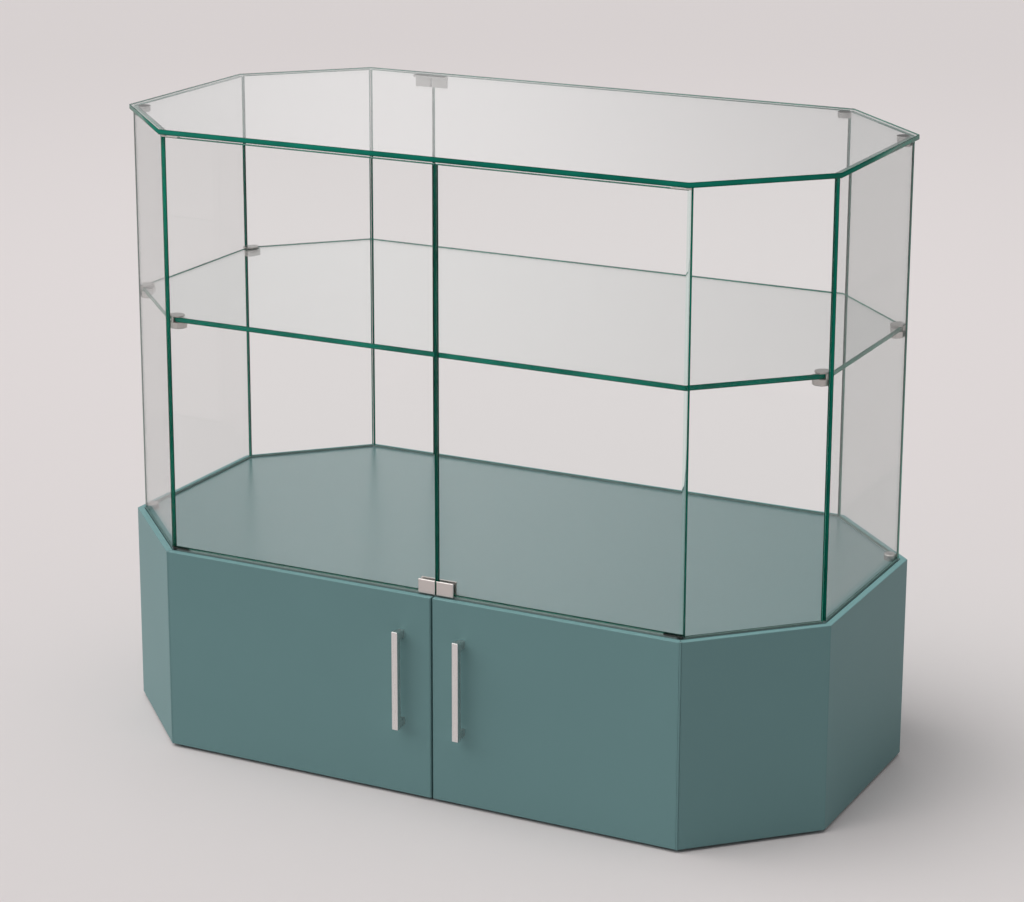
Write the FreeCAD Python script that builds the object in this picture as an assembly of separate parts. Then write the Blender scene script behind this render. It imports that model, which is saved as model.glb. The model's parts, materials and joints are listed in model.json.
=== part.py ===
import FreeCAD, Part
import math
import os
from FreeCAD import Vector

# Octagonal display case: a painted cupboard base with a glass case on it.
# Millimetres. X runs to the right, Y to the back, Z up, with the floor at zero
# and the origin in the middle of the plan.

# Outline and heights
overall_width = 1200.0
overall_depth = 660.0
corner_cut = 165.0
overall_height = 990.0
base_height = 325.0
shelf_height = 698.0
floor_gap = 5.0

# Base cabinet
panel_thickness = 10.0
board_thickness = 16.0
shadow_gap = 1.5
deck_rebate = 4.0
corner_round = 2.0
edge_ease = 1.2
rail_height = 36.0
rail_depth = 16.0
dowel_diameter = 6.0
dowel_clearance = 0.05
dowel_in_panel = 6.0
dowel_in_board = 18.0
dowel_margin = 45.0
glide_diameter = 40.0
glide_margin = 45.0

# Meeting edges of the doors, to the right of the middle
seam_place = 32.0
cabinet_seam_gap = 3.0
seam_flare = 1.5
glass_seam_place = 35.0
glass_seam_gap = 2.5

# Corner hinges of the cupboard doors
hinge_barrel_radius = 2.0
hinge_pin_diameter = 2.0
hinge_fit = 0.05
hinge_relief = 0.4
hinge_closing_gap = 0.6
hinge_leaf_thickness = 0.8
hinge_leaf_reach = 8.0
hinge_leaf_margin = 10.0
hinge_leaf_clearance = 0.3
knuckle_count = 11
knuckle_gap = 0.3
hinge_screw_diameter = 1.6
hinge_screw_head = 3.0
hinge_screw_length = 7.0
hinge_screw_count = 6
hinge_screw_margin = 20.0

# Bar handles
handle_offset = 51.0
handle_bottom = 114.0
handle_length = 156.0
handle_width = 10.0
handle_depth = 10.0
handle_finger_gap = 12.0
handle_ease = 0.8
post_height = 12.0
post_inset = 2.0
handle_screw_diameter = 4.0
handle_screw_head = 8.0
handle_screw_head_height = 2.8
handle_screw_engagement = 10.0
screw_clearance = 0.1

# Magnetic catch of the cupboard doors
strike_width = 20.0
strike_height = 10.0
strike_thickness = 1.5
strike_margin = 4.0
catch_gap = 0.4
catch_width = 54.0
catch_depth = 14.0
catch_height = 12.0

# Glass
glass_thickness = 8.0
setting_strip = 2.0
sill_end_gap = 0.5
setting_strip_width = 6.0
bond_gap = 0.3
plate_overhang = 5.0
glass_arris = 0.8
rear_left_pane_width = 121.0
rear_seam_gap = 1.2

# Pivots of the glass doors
door_bottom_gap = 4.5
door_top_gap = 3.6
pivot_end_gap = 0.7
pivot_shoe_length = 26.0
pivot_shoe_thickness = 1.5
pivot_diameter = 4.0
pivot_fit = 0.05
pivot_play = 0.3
bush_wall = 0.75
bush_length = 9.0
bush_flange = 1.0
cup_wall = 2.15

# Patches on the glass doors and their catch
patch_width = 28.0
patch_rise = 20.0
patch_front = 3.0
patch_back = 4.0
patch_web = 1.5
patch_slot_clearance = 0.1
patch_bevel = 0.6
patch_screw_diameter = 4.0
patch_screw_rise = 13.0
glass_catch_width = 44.0
glass_catch_depth = 12.0
glass_catch_height = 14.0

# Shelf and its corner clamps
shelf_thickness = 8.0
shelf_margin = 3.0
shelf_corner_cut = 6.0
bracket_radius = 13.0
bracket_reach = 10.0
bracket_block_height = 10.0
bracket_depth = 22.5
bracket_post_radius = 2.5
bracket_ease = 0.8
bracket_cap_height = 2.0
bracket_pad_gap = 0.2
bracket_door_gap = 0.5
bracket_screw_diameter = 3.0
bracket_screw_head = 4.2
bracket_screw_head_height = 1.0
bracket_screw_reach = 3.0

# Corner clips and the clips at the rear seam
clip_radius = 11.0
clip_reach = 8.5
clip_height = 9.0
clip_bond = 0.2
clip_ease = 0.8
rear_clip_width = 28.0
rear_clip_height = 20.0
rear_clip_thickness = 5.0
rear_clip_flange = 14.0
rear_clip_flange_height = 3.0
rear_clip_seam_gap = 0.9

# Worked out from the sizes above
up = Vector(0, 0, 1)
tolerance = 1e-6
bend = math.pi / 8
half_width = overall_width / 2
half_depth = overall_depth / 2
deck_bottom = base_height - board_thickness
board_top = floor_gap + board_thickness
rail_bottom = deck_bottom - rail_height
glass_outer = panel_thickness + shadow_gap
glass_middle = glass_outer + glass_thickness / 2
glass_inner = glass_outer + glass_thickness
plate_bottom = overall_height - glass_thickness
pane_bottom = base_height + setting_strip
pane_top = plate_bottom - bond_gap
door_glass_bottom = base_height + door_bottom_gap
door_glass_top = plate_bottom - door_top_gap
shelf_bottom = shelf_height - shelf_thickness
shelf_inset = glass_inner + shelf_margin
bush_radius = pivot_diameter / 2 + pivot_fit + bush_wall
bush_flange_height = door_bottom_gap - pivot_shoe_thickness - pivot_play
cup_height = door_top_gap - pivot_shoe_thickness - pivot_play

# Corners are numbered round the plan from the front left one, and each side has
# the number of the corner that it starts from.
front, front_right, right, rear_right, rear, rear_left, left, front_left = range(8)
left_hinge_corner = front
right_hinge_corner = front_right
bracket_corners = (front, right, rear_right, left, front_left)
top_clip_corners = (rear_right, rear, front_left)
bottom_clip_corners = (rear_right, front_left)

panel_names = {
    front_right: "front_right_corner_panel",
    right: "right_side_panel",
    rear_right: "rear_right_corner_panel",
    rear: "back_panel",
    rear_left: "rear_left_corner_panel",
    left: "left_side_panel",
    front_left: "front_left_corner_panel",
}
pane_names = {
    front_right: "front_right_corner_glass",
    right: "right_side_glass",
    rear_right: "rear_right_corner_glass",
    rear: "rear_glass",
    rear_left: "rear_left_corner_glass",
    left: "left_side_glass",
    front_left: "front_left_corner_glass",
}


def octagon(inset, front_inset=None):
    """Plan corners of the outline moved in by inset, with the front line moved in by its own amount."""
    if front_inset is None:
        front_inset = inset
    x_far = half_width - inset
    y_far = half_depth - inset
    y_front = half_depth - front_inset
    diagonal = half_width + half_depth - corner_cut - inset * math.sqrt(2)
    x_front = diagonal - y_front
    x_rear = diagonal - y_far
    y_side = diagonal - x_far
    return [
        Vector(-x_front, -y_front, 0),
        Vector(x_front, -y_front, 0),
        Vector(x_far, -y_side, 0),
        Vector(x_far, y_side, 0),
        Vector(x_rear, y_far, 0),
        Vector(-x_rear, y_far, 0),
        Vector(-x_far, y_side, 0),
        Vector(-x_far, -y_side, 0),
    ]


def prism(points, low, high):
    """Upright solid on a plan polygon."""
    face = Part.Face(Part.makePolygon(points + [points[0]]))
    solid = face.extrude(up * (high - low))
    solid.translate(up * low)
    return solid


def box(x_low, x_high, y_low, y_high, z_low, z_high):
    """Box between two corners."""
    corner = Vector(x_low, y_low, z_low)
    return Part.makeBox(x_high - x_low, y_high - y_low, z_high - z_low, corner)


def cylinder(radius, start, direction, length):
    """Round bar from a start point."""
    return Part.makeCylinder(radius, length, start, direction)


def fused(shapes):
    """One solid from overlapping or touching shapes."""
    whole = shapes[0]
    if len(shapes) > 1:
        whole = whole.multiFuse(shapes[1:])
    return whole.removeSplitter()


def upright_edges(shape):
    """Edges that run straight up."""
    def is_upright(edge):
        start, end = edge.Vertexes[0].Point, edge.Vertexes[-1].Point
        return (end - start).cross(up).Length < tolerance < (end - start).Length
    return [edge for edge in shape.Edges if is_upright(edge)]


def level_edges(shape, height):
    """Edges that lie at one height."""
    def is_level(edge):
        bounds = edge.BoundBox
        return abs(bounds.ZMin - height) < tolerance and abs(bounds.ZMax - height) < tolerance
    return [edge for edge in shape.Edges if is_level(edge)]


def along(side):
    """Unit vector along a side, going round the plan."""
    corners = octagon(0)
    return (corners[(side + 1) % 8] - corners[side]).normalize()


def inward(side):
    """Unit vector from a side towards the inside."""
    return up.cross(along(side))


def corner_inward(corner):
    """Unit vector from a corner towards the inside, along its bisector."""
    return (octagon(panel_thickness)[corner] - octagon(0)[corner]).normalize()


def wall(side, outer, inner, low, high, start_gap, end_gap):
    """Straight wall between two insets with mitred ends, each end held back from its mitre plane."""
    outer_points = octagon(outer)
    inner_points = octagon(inner)
    end = (side + 1) % 8
    start_shift = along(side) * (start_gap / math.cos(bend))
    end_shift = along(side) * (-end_gap / math.cos(bend))
    points = [
        outer_points[side] + start_shift,
        outer_points[end] + end_shift,
        inner_points[end] + end_shift,
        inner_points[side] + start_shift,
    ]
    return prism(points, low, high)


def bisector_point(corner, inset, reach):
    """Plan point on a corner's bisector, at a reach inside the corner of the outline at inset."""
    return octagon(inset)[corner] + corner_inward(corner) * reach


# Base cabinet

def base_shell():
    """Ring of the base's outer walls, with rounded corners and eased outer edges."""
    block = prism(octagon(0), floor_gap, base_height)
    block = block.makeFillet(corner_round, upright_edges(block))
    rims = level_edges(block, base_height) + level_edges(block, floor_gap)
    block = block.makeFillet(edge_ease, rims)
    return block.cut(prism(octagon(panel_thickness), floor_gap, base_height))


def dowel_places(side):
    """Plan points of a panel's dowels on the panel's inner face."""
    corners = octagon(panel_thickness)
    start = corners[side] + along(side) * dowel_margin
    end = corners[(side + 1) % 8] - along(side) * dowel_margin
    return [start, end]


def dowels(diameter):
    """Dowels, or their holes, through every fixed panel's inner face into the two boards."""
    heights = (floor_gap + board_thickness / 2, deck_bottom + (board_thickness - deck_rebate) / 2)
    shapes = []
    for side in panel_names:
        for place in dowel_places(side):
            for height in heights:
                start = place + up * height - inward(side) * dowel_in_panel
                length = dowel_in_panel + dowel_in_board
                shapes.append(cylinder(diameter / 2, start, inward(side), length))
    return shapes


def hinge_axis(corner):
    """Plan point that a cupboard door turns about."""
    return octagon(hinge_barrel_radius)[corner]


def hinge_slab(corner, toward, reach_low, reach_high, off_low, off_high, low, high):
    """Flat slab beside a hinge's mitre plane: reach runs inward from the axis, off runs to one side."""
    reach = corner_inward(corner)
    off = up.cross(reach) * toward
    axis = hinge_axis(corner)
    spots = ((reach_low, off_low), (reach_high, off_low), (reach_high, off_high), (reach_low, off_high))
    points = [axis + reach * r + off * o for r, o in spots]
    return prism(points, low, high)


def door_toward(corner):
    """Side of the mitre plane that the cupboard door is on."""
    return -1 if corner == left_hinge_corner else 1


def hinge_screw_heights():
    """Heights of the screws along a hinge leaf."""
    low = floor_gap + hinge_screw_margin
    step = (base_height - hinge_screw_margin - low) / (hinge_screw_count - 1)
    return [low + step * index for index in range(hinge_screw_count)]


def hinge_screw(corner, toward, height, clearance):
    """Countersunk screw, or its hole, driven square into the mitre face through the leaf."""
    reach = corner_inward(corner)
    off = up.cross(reach) * toward
    middle = (hinge_barrel_radius + hinge_relief + hinge_leaf_reach) / 2
    face = hinge_axis(corner) + reach * middle + off * (hinge_closing_gap / 2) + up * height
    radius = hinge_screw_diameter / 2 + clearance
    head = hinge_screw_head / 2 + clearance
    cone = Part.makeCone(head, radius, hinge_leaf_thickness, face, off)
    shank = cylinder(radius, face, off, hinge_screw_length + clearance)
    return fused([cone, shank])


def hinge_screws(corner, toward, clearance=0.0):
    """All screws, or their holes, of one hinge leaf."""
    return [hinge_screw(corner, toward, height, clearance) for height in hinge_screw_heights()]


def hinge_leaf(corner, toward, first):
    """Hinge leaf with every other knuckle, starting from the given one."""
    clear = hinge_barrel_radius + hinge_relief
    near = hinge_closing_gap / 2
    far = near + hinge_leaf_thickness
    low = floor_gap + hinge_leaf_margin
    high = base_height - hinge_leaf_margin
    pieces = [hinge_slab(corner, toward, clear, hinge_leaf_reach, near, far, low, high)]
    pitch = (base_height - floor_gap + knuckle_gap) / knuckle_count
    for index in range(first, knuckle_count, 2):
        knuckle_low = floor_gap + pitch * index
        knuckle_high = knuckle_low + pitch - knuckle_gap
        web_low = max(knuckle_low, low)
        web_high = min(knuckle_high, high)
        pieces.append(cylinder(hinge_barrel_radius, hinge_axis(corner) + up * knuckle_low, up,
                               knuckle_high - knuckle_low))
        pieces.append(hinge_slab(corner, toward, 0, clear, near, far, web_low, web_high))
    leaf = fused(pieces)
    bore_radius = hinge_pin_diameter / 2 + hinge_fit
    bore = cylinder(bore_radius, hinge_axis(corner) + up * floor_gap, up, base_height - floor_gap)
    return leaf.cut([bore] + hinge_screws(corner, toward, hinge_fit))


def hinge_pin(corner):
    """Pin through all the knuckles of a cupboard door's hinge."""
    return cylinder(hinge_pin_diameter / 2, hinge_axis(corner) + up * floor_gap, up, base_height - floor_gap)


def hinge_room(corner, toward):
    """What a panel or door leaves out for the hinge: the barrel's relief, the leaf's bed and the screws."""
    relief = hinge_barrel_radius + hinge_relief
    round_room = cylinder(relief, hinge_axis(corner) + up * floor_gap, up, base_height - floor_gap)
    low = floor_gap + hinge_leaf_margin - hinge_leaf_clearance
    high = base_height - hinge_leaf_margin + hinge_leaf_clearance
    reach = hinge_leaf_reach + hinge_leaf_clearance
    depth = hinge_closing_gap / 2 + hinge_leaf_thickness
    bed = hinge_slab(corner, toward, 0, reach, 0, depth, low, high)
    return [round_room, bed] + hinge_screws(corner, toward, hinge_fit)


def cut_from_shell(shell, side):
    """One wall of the base, between its mitre planes."""
    gaps = [0.0, 0.0]
    for index, corner in enumerate((side, (side + 1) % 8)):
        if corner in (left_hinge_corner, right_hinge_corner):
            gaps[index] = hinge_closing_gap / 2
    sector = wall(side, -edge_ease, panel_thickness, floor_gap, base_height, gaps[0], gaps[1])
    return shell.common(sector)


def fixed_panels(shell):
    """The seven fixed walls of the base."""
    holes = dowels(dowel_diameter + 2 * dowel_clearance)
    panels = {}
    for side, name in panel_names.items():
        panel = cut_from_shell(shell, side).cut(holes)
        for corner in (left_hinge_corner, right_hinge_corner):
            if corner in (side, (side + 1) % 8):
                panel = panel.cut(hinge_room(corner, -door_toward(corner)))
        panels[name] = panel
    return panels


def bottom_board():
    """Floor of the cupboard."""
    outline = octagon(panel_thickness, glass_outer)
    return prism(outline, floor_gap, board_top).cut(dowels(dowel_diameter + 2 * dowel_clearance))


def bush_place(corner):
    """Plan point of a glass door's pivot."""
    return octagon(glass_middle)[corner]


def deck_board():
    """Deck that the glass stands on, rebated round its top edge to leave the shadow gap."""
    lower = prism(octagon(panel_thickness, glass_outer), deck_bottom, base_height - deck_rebate)
    upper = prism(octagon(glass_outer), base_height - deck_rebate, base_height)
    holes = dowels(dowel_diameter + 2 * dowel_clearance)
    for corner in (left_hinge_corner, right_hinge_corner):
        start = bush_place(corner) + up * (base_height - bush_length)
        holes.append(cylinder(bush_radius + pivot_fit, start, up, bush_length))
    return fused([lower, upper]).cut(holes)


def front_rail():
    """Rail under the deck's front edge, between the two front corner panels."""
    y_front = -half_depth + glass_outer
    bar = box(-half_width, half_width, y_front, y_front + rail_depth, rail_bottom, deck_bottom)
    return bar.common(prism(octagon(panel_thickness), rail_bottom, deck_bottom))


def glides():
    """Round feet: two rows of three and one in the middle."""
    inner = octagon(panel_thickness + glide_margin)
    x_row = inner[1].x
    y_row = -inner[1].y
    places = [Vector(x, y, 0) for x in (-x_row, 0, x_row) for y in (-y_row, y_row)]
    places.append(Vector(0, 0, 0))
    return [cylinder(glide_diameter / 2, place, up, floor_gap) for place in places]


# Cupboard doors

def handle_x(side_sign):
    """Middle of a handle, left or right of the seam."""
    return seam_place + side_sign * handle_offset


def post_heights():
    """Middle heights of a handle's two posts."""
    edge = post_inset + post_height / 2
    return (handle_bottom + edge, handle_bottom + handle_length - edge)


def handle_screw(side_sign, height, clearance):
    """Screw, or its hole, from the inner face of the door into a handle's post."""
    inner_face = Vector(handle_x(side_sign), -half_depth + panel_thickness, height)
    outwards = Vector(0, -1, 0)
    radius = handle_screw_diameter / 2 + clearance
    shank = cylinder(radius, inner_face, outwards, panel_thickness + handle_screw_engagement + clearance)
    head_radius = handle_screw_head / 2 + clearance
    head = cylinder(head_radius, inner_face - outwards * handle_screw_head_height, outwards,
                    handle_screw_head_height)
    return fused([shank, head])


def handle_screws(side_sign, clearance=0.0):
    """The two screws, or holes, of one handle."""
    return [handle_screw(side_sign, height, clearance) for height in post_heights()]


def handle(side_sign):
    """Square bar on two posts, tapped from the back."""
    x_low = handle_x(side_sign) - handle_width / 2
    x_high = handle_x(side_sign) + handle_width / 2
    y_face = -half_depth
    y_back = y_face - handle_finger_gap
    y_front = y_back - handle_depth
    bar = box(x_low, x_high, y_front, y_back, handle_bottom, handle_bottom + handle_length)
    bar = bar.makeFillet(handle_ease, bar.Edges)
    pieces = [bar]
    for height in post_heights():
        low = height - post_height / 2
        high = height + post_height / 2
        post = box(x_low, x_high, y_back - handle_depth / 2, y_face, low, high)
        long_edges = [edge for edge in post.Edges if edge.BoundBox.YLength > handle_finger_gap]
        pieces.append(post.makeFillet(handle_ease, long_edges))
    return fused(pieces).cut(handle_screws(side_sign, screw_clearance))


def cabinet_seam():
    """What the seam takes out of the front wall, flared at the outer face."""
    half_gap = cabinet_seam_gap / 2
    y_face = -half_depth
    points = [
        Vector(seam_place - half_gap, y_face + panel_thickness, 0),
        Vector(seam_place - half_gap, y_face + seam_flare, 0),
        Vector(seam_place - half_gap - seam_flare, y_face, 0),
        Vector(seam_place + half_gap + seam_flare, y_face, 0),
        Vector(seam_place + half_gap, y_face + seam_flare, 0),
        Vector(seam_place + half_gap, y_face + panel_thickness, 0),
    ]
    return prism(points, floor_gap, base_height)


def cabinet_doors(shell):
    """The two cupboard doors, left and right."""
    wall_piece = cut_from_shell(shell, front)
    for corner in (left_hinge_corner, right_hinge_corner):
        wall_piece = wall_piece.cut(hinge_room(corner, door_toward(corner)))
    wall_piece = wall_piece.cut([cabinet_seam()] + handle_screws(-1, screw_clearance)
                                + handle_screws(1, screw_clearance))
    return sorted(wall_piece.Solids, key=lambda solid: solid.CenterOfMass.x)


def strike_plate(side_sign):
    """Steel plate on the inner face of a cupboard door, that the catch holds."""
    x_near = seam_place + side_sign * (cabinet_seam_gap / 2 + strike_margin)
    x_far = x_near + side_sign * strike_width
    y_face = -half_depth + panel_thickness
    z_middle = rail_bottom - catch_height / 2
    return box(min(x_near, x_far), max(x_near, x_far), y_face, y_face + strike_thickness,
               z_middle - strike_height / 2, z_middle + strike_height / 2)


def cabinet_catch():
    """Double magnetic catch under the front rail."""
    y_front = -half_depth + panel_thickness + strike_thickness + catch_gap
    return box(seam_place - catch_width / 2, seam_place + catch_width / 2,
               y_front, y_front + catch_depth, rail_bottom - catch_height, rail_bottom)


# Fixed glass

def is_pivot(corner):
    """Whether a glass door turns at this corner."""
    return corner in (left_hinge_corner, right_hinge_corner)


def glass_end(corner, direction, inner):
    """Plan point in a glass wall's end plane: at its inner corner, or clear of a door's pivot."""
    if is_pivot(corner):
        return bush_place(corner) + direction * (glass_thickness / 2 + pivot_end_gap)
    return octagon(inner)[corner] + direction * (bond_gap / 2 / math.cos(bend))


def wall_of_glass(side, outer, inner, low, high):
    """Wall between two insets with square ends, bonded to its neighbours along their inner corners."""
    way = along(side)
    ends = [glass_end(side, way, inner), glass_end((side + 1) % 8, way * -1, inner)]
    lines = []
    for inset in (outer, inner):
        origin = octagon(inset)[side]
        lines.append([origin + way * (point - origin).dot(way) for point in ends])
    return prism(lines[0] + lines[1][::-1], low, high)


def rear_seam_x():
    """Middle of the rear seam, measured from the rear left corner of the glass."""
    return octagon(glass_middle)[rear_left].x + rear_left_pane_width


def rear_seam_cut(low, high):
    """What the rear seam takes out of the rear wall of glass."""
    half_gap = rear_seam_gap / 2
    return box(rear_seam_x() - half_gap, rear_seam_x() + half_gap, 0, half_depth, low, high)


def fixed_panes():
    """The fixed panes, with the rear wall in two."""
    panes = {}
    for side, name in pane_names.items():
        pane = wall_of_glass(side, glass_outer, glass_inner, pane_bottom, pane_top)
        if side == rear:
            halves = pane.cut(rear_seam_cut(pane_bottom, pane_top)).Solids
            halves.sort(key=lambda solid: solid.CenterOfMass.x)
            panes[name + "_left"], panes[name + "_right"] = halves
        else:
            panes[name] = pane
    return panes


def setting_strips():
    """Strips on the deck, under the fixed panes and along the sill of the glass doors."""
    outer = glass_middle - setting_strip_width / 2
    inner = glass_middle + setting_strip_width / 2
    strips = [wall_of_glass(side, outer, inner, base_height, pane_bottom) for side in pane_names]
    sill_end = bush_radius + bush_flange + sill_end_gap
    strips.append(box(bush_place(left_hinge_corner).x + sill_end, bush_place(right_hinge_corner).x - sill_end,
                      -half_depth + outer, -half_depth + inner, base_height, pane_bottom))
    return strips


def with_arris(plate, low, high):
    """Level glass plate with its upper and lower edges taken off."""
    return plate.makeChamfer(glass_arris, level_edges(plate, low) + level_edges(plate, high))


def top_glass():
    """Top plate, a little proud of the walls all round."""
    plate = prism(octagon(glass_outer - plate_overhang), plate_bottom, overall_height)
    return with_arris(plate, plate_bottom, overall_height)


def shelf_glass():
    """Shelf, with its corners taken off where the clamps hold it."""
    plate = prism(octagon(shelf_inset), shelf_bottom, shelf_height)
    for corner in bracket_corners:
        plate = plate.cut(corner_block(corner, shelf_corner_cut, shelf_bottom, shelf_height))
    return with_arris(plate, shelf_bottom, shelf_height)


def corner_block(corner, reach, low, high):
    """Everything nearer to a glass corner than a reach along its bisector."""
    inwards = corner_inward(corner)
    across = up.cross(inwards)
    edge = bisector_point(corner, glass_inner, reach)
    size = bracket_radius * 2
    points = [edge - across * size, edge + across * size,
              edge + across * size - inwards * size, edge - across * size - inwards * size]
    return prism(points, low, high)


# Glass doors

def door_direction(corner):
    """Unit vector from a glass door's pivot along the door."""
    return Vector(1, 0, 0) if corner == left_hinge_corner else Vector(-1, 0, 0)


def door_length(corner):
    """From a glass door's pivot to its meeting edge."""
    edge = glass_seam_place - door_direction(corner).x * glass_seam_gap / 2
    return abs(edge - bush_place(corner).x)


def door_strip(corner, length, low, high):
    """Strip along the front with one end rounded about the pivot and the other end square."""
    half = glass_thickness / 2
    ahead = door_direction(corner)
    aside = Vector(0, half, 0)
    pivot = bush_place(corner)
    far = pivot + ahead * length
    rounding = Part.Arc(pivot + aside, pivot - ahead * half, pivot - aside).toShape()
    square = Part.makePolygon([pivot - aside, far - aside, far + aside, pivot + aside])
    face = Part.Face(Part.Wire(Part.sortEdges([rounding] + square.Edges)[0]))
    solid = face.extrude(up * (high - low))
    solid.translate(up * low)
    return solid


def glass_door(corner):
    """Glass door with eased edges."""
    pane = door_strip(corner, door_length(corner), door_glass_bottom, door_glass_top)
    edges = level_edges(pane, door_glass_bottom) + level_edges(pane, door_glass_top)
    far_x = bush_place(corner).x + door_direction(corner).x * door_length(corner)
    edges += [edge for edge in upright_edges(pane) if abs(edge.CenterOfMass.x - far_x) < tolerance]
    return pane.makeChamfer(glass_arris, edges)


def bottom_pivot(corner):
    """Shoe under a glass door, with a pin that turns in the deck's bush."""
    low = door_glass_bottom - pivot_shoe_thickness
    shoe = door_strip(corner, pivot_shoe_length, low, door_glass_bottom)
    pin_bottom = base_height - bush_length + bush_wall + pivot_play
    pin = cylinder(pivot_diameter / 2, bush_place(corner) + up * pin_bottom, up, low - pin_bottom)
    return fused([shoe, pin])


def top_pivot(corner):
    """Shoe on top of a glass door, with a pin that turns in the cup under the top plate."""
    shoe_top = door_glass_top + pivot_shoe_thickness
    shoe = door_strip(corner, pivot_shoe_length, door_glass_top, shoe_top)
    pin = cylinder(pivot_diameter / 2, bush_place(corner) + up * shoe_top, up,
                   plate_bottom - pivot_play - shoe_top)
    return fused([shoe, pin])


def deck_bush(corner):
    """Flanged bush in the deck, closed at the bottom."""
    place = bush_place(corner)
    body = cylinder(bush_radius, place + up * (base_height - bush_length), up, bush_length)
    flange = cylinder(bush_radius + bush_flange, place + up * base_height, up, bush_flange_height)
    bore_low = base_height - bush_length + bush_wall
    bore = cylinder(pivot_diameter / 2 + pivot_fit, place + up * bore_low, up,
                    base_height + bush_flange_height - bore_low)
    return fused([body, flange]).cut(bore)


def top_cup(corner):
    """Ring under the top plate that a door's upper pin turns in."""
    place = bush_place(corner) + up * (plate_bottom - cup_height)
    bore_radius = pivot_diameter / 2 + pivot_fit
    ring = cylinder(bore_radius + cup_wall, place, up, cup_height)
    return ring.cut(cylinder(bore_radius, place, up, cup_height))


def patch_screw(side_sign, clearance=0.0):
    """Grub screw, or its hole, in the back plate of a patch."""
    x_middle = glass_seam_place + side_sign * (glass_seam_gap + patch_width) / 2
    y_low = -half_depth + glass_inner + patch_slot_clearance
    start = Vector(x_middle, y_low, door_glass_bottom + patch_screw_rise)
    return cylinder(patch_screw_diameter / 2 + clearance, start, Vector(0, 1, 0), patch_back)


def door_patch(side_sign):
    """Metal patch that wraps the bottom of a glass door at its meeting edge."""
    x_near = glass_seam_place + side_sign * glass_seam_gap / 2
    x_far = x_near + side_sign * patch_width
    x_low, x_high = min(x_near, x_far), max(x_near, x_far)
    slot_low = -half_depth + glass_outer - patch_slot_clearance
    slot_high = -half_depth + glass_inner + patch_slot_clearance
    low = door_glass_bottom - patch_slot_clearance - patch_web
    high = door_glass_bottom + patch_rise
    whole = box(x_low, x_high, slot_low - patch_front, slot_high + patch_back, low, high)
    front_edges = [edge for edge in whole.Edges if edge.BoundBox.YMax < slot_low - patch_front + tolerance]
    whole = whole.makeChamfer(patch_bevel, front_edges)
    slot = box(x_low, x_high, slot_low, slot_high, low + patch_web, high)
    return whole.cut([slot, patch_screw(side_sign, screw_clearance)])


def glass_catch():
    """Magnetic catch on the deck, behind the back plates of the two patches."""
    y_front = -half_depth + glass_inner + patch_slot_clearance + patch_back + catch_gap
    return box(glass_seam_place - glass_catch_width / 2, glass_seam_place + glass_catch_width / 2,
               y_front, y_front + glass_catch_depth, base_height, base_height + glass_catch_height)


# Shelf clamps and clips

def corner_puck(corner, radius, reach, low, high, front_gap):
    """Disc set into a glass corner and cut off by the two panes."""
    centre = bisector_point(corner, glass_inner, reach)
    disc = cylinder(radius, centre + up * low, up, high - low)
    room = prism(octagon(glass_inner + clip_bond, glass_inner + front_gap), low, high)
    return disc.common(room)


def bracket_screw(corner, clearance=0.0):
    """Screw, or its hole, with its head let into a clamp's cap, down into the clamp's body."""
    head_low = shelf_height + bracket_pad_gap + bracket_cap_height - bracket_screw_head_height
    place = bisector_point(corner, glass_inner + clip_bond, bracket_screw_reach)
    head = cylinder(bracket_screw_head / 2 + clearance, place + up * head_low, up, bracket_screw_head_height)
    low = shelf_bottom - bracket_block_height / 2
    shank = cylinder(bracket_screw_diameter / 2 + clearance, place + up * low, up, head_low - low)
    return fused([head, shank])


def corner_facets(corner, low, high, front_gap):
    """Eight-sided block in a glass corner, two sides along the panes and its inner end cut flat."""
    across = bracket_radius / math.cos(bend)
    centre = bisector_point(corner, glass_inner + clip_bond, across)
    spoke = corner_inward(corner) * -across
    eighth = math.degrees(bend) * 2
    points = [centre + FreeCAD.Rotation(up, eighth * turn).multVec(spoke) for turn in range(8)]
    room = prism(octagon(glass_inner + clip_bond, glass_inner + front_gap), low, high)
    room = room.common(corner_block(corner, bracket_depth, low, high))
    return prism(points, low, high).common(room)


def bracket_body(corner):
    """Block under the shelf with a post that rises past the shelf's cut corner."""
    block_low = shelf_bottom - bracket_pad_gap - bracket_block_height
    block_high = shelf_bottom - bracket_pad_gap
    block = corner_facets(corner, block_low, block_high, bracket_door_gap)
    block = block.makeChamfer(bracket_ease, level_edges(block, block_low))
    place = bisector_point(corner, glass_inner + clip_bond, bracket_screw_reach)
    post_low = block_high - bracket_block_height / 2
    post = cylinder(bracket_post_radius, place + up * post_low, up, shelf_height + bracket_pad_gap - post_low)
    return fused([block, post]).cut(bracket_screw(corner, screw_clearance))


def bracket_cap(corner):
    """Cap on top of the shelf, held down by the clamp's screw."""
    low = shelf_height + bracket_pad_gap
    cap = corner_puck(corner, bracket_radius, bracket_reach, low, low + bracket_cap_height, bracket_door_gap)
    return cap.cut(bracket_screw(corner, screw_clearance))


def corner_clips():
    """Small blocks in the upper and lower glass corners."""
    shapes = []
    for corners, low, eased in (
            (top_clip_corners, plate_bottom - clip_height, plate_bottom - clip_height),
            (bottom_clip_corners, base_height, base_height + clip_height)):
        for corner in corners:
            puck = corner_puck(corner, clip_radius, clip_reach, low, low + clip_height, clip_bond)
            shapes.append(puck.makeChamfer(clip_ease, level_edges(puck, eased)))
    return shapes


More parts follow.
